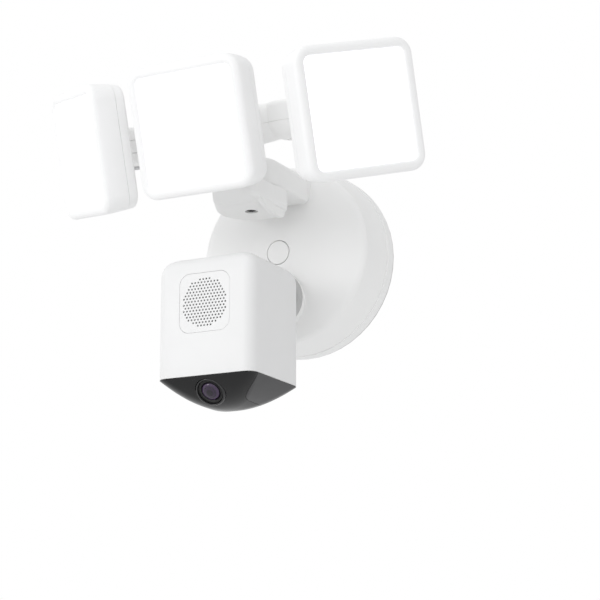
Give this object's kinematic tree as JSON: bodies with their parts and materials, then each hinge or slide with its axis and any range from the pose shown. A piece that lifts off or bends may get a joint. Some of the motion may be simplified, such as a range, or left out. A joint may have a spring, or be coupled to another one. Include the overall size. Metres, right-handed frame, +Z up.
{
  "type": "floodlight security camera",
  "caption": "Wall-mounted security camera under a tilting bar of square LED floodlight heads, on a round base with a screw cap.",
  "frame": {"origin": "centre of the mounting bracket's rear face, which lies in the wall plane behind the round base", "axes": "+Y into the wall, so the lights and camera face -Y; +Z up; +X to the right for someone facing the wall"},
  "size_m": [0.2973, 0.2023, 0.2602],
  "materials": {
    "white_shell": "satin white moulded plastic",
    "lamp_diffuser": "milky translucent diffuser, lit",
    "dark_window": "glossy near-black",
    "pir_plastic": "semi-gloss dark grey",
    "lens_black": "satin black",
    "lens_glass": "coated glass",
    "steel": "zinc plated",
    "board_green": "solder mask",
    "rubber_grey": "matt",
    "component_dark": "matt black"
  },
  "bodies": {
    "wall_base": {"mounting_bracket": "steel", "base_gasket": "rubber_grey", "base_back_plate": "white_shell", "wire_grommet": "rubber_grey", "base_front_housing": "white_shell", "centre_bolt": "steel", "screw_cap": "white_shell", "power_board": "board_green", "transformer": "component_dark", "bulk_capacitor": "component_dark", "terminal_block": "white_shell", "base_screw_1": "steel", "base_screw_2": "steel", "base_screw_3": "steel", "light_arm": "white_shell", "arm_screw_1": "steel", "arm_screw_2": "steel", "camera_boss": "white_shell", "boss_screw_1": "steel", "boss_screw_2": "steel", "hub_pivot_screw": "steel"},
    "light_hub": {"light_hub": "white_shell", "bar_tilt_pin": "steel"},
    "light_bar": {"bar_lower_shell": "white_shell", "bar_upper_shell": "white_shell", "bar_screw_1": "steel", "bar_screw_2": "steel", "left_pivot_screw": "steel", "centre_pivot_screw": "steel", "right_pivot_screw": "steel"},
    "left_head": {"left_head_back": "white_shell", "left_head_frame": "white_shell", "left_head_lens": "lamp_diffuser", "left_led_board": "board_green"},
    "centre_head": {"centre_head_back": "white_shell", "centre_head_frame": "white_shell", "centre_head_lens": "lamp_diffuser", "centre_led_board": "board_green"},
    "right_head": {"right_head_back": "white_shell", "right_head_frame": "white_shell", "right_head_lens": "lamp_diffuser", "right_led_board": "board_green"},
    "camera_swivel": {"camera_swivel": "white_shell", "swivel_pin": "steel", "camera_tilt_pin": "steel"},
    "camera": {"camera_shell": "white_shell", "camera_rear_cover": "white_shell", "speaker_grille": "white_shell", "speaker_driver": "component_dark", "camera_window": "dark_window", "pir_lens": "pir_plastic", "lens_ring": "lens_black", "lens_barrel": "lens_black", "lens_glass": "lens_glass", "sensor_board": "board_green", "main_board": "board_green", "pir_sensor_left": "steel", "pir_sensor_right": "steel"},
    "setup_button": {"setup_button": "rubber_grey"}
  },
  "joints": [
    {"name": "hub_pan", "type": "hinge", "parent": "wall_base", "child": "light_hub", "pos_m": [0, -0.095, 0.03], "axis": [0, 0, 1], "range_deg": [-30, 30]},
    {"name": "bar_tilt", "type": "hinge", "parent": "light_hub", "child": "light_bar", "pos_m": [0, -0.1286, 0.0479], "axis": [1, 0, 0], "range_deg": [-12, 19]},
    {"name": "left_head_swivel", "type": "hinge", "parent": "light_bar", "child": "left_head", "pos_m": [-0.0844, -0.129, 0.0751], "axis": [0, -0.3069, 0.9518], "range_deg": [-36, 9]},
    {"name": "centre_head_swivel", "type": "hinge", "parent": "light_bar", "child": "centre_head", "pos_m": [0, -0.14156, 0.07105], "axis": [0, -0.3069, 0.9518], "range_deg": [-6, 14]},
    {"name": "right_head_swivel", "type": "hinge", "parent": "light_bar", "child": "right_head", "pos_m": [0.0844, -0.129, 0.0751], "axis": [0, -0.3069, 0.9518], "range_deg": [-24, 21]},
    {"name": "camera_pan", "type": "hinge", "parent": "wall_base", "child": "camera_swivel", "pos_m": [0, -0.068, -0.038], "axis": [0, 0, 1], "range_deg": [-40, 40]},
    {"name": "camera_tilt", "type": "hinge", "parent": "camera_swivel", "child": "camera", "pos_m": [0, -0.084, -0.038], "axis": [1, 0, 0], "range_deg": [-20, 35]},
    {"name": "setup_button_press", "type": "slide", "parent": "camera", "child": "setup_button", "axis": [0, -1, 0], "range_m": [0, 0.001], "stiffness_N_per_m": 400, "springref_m": -0.001}
  ]
}
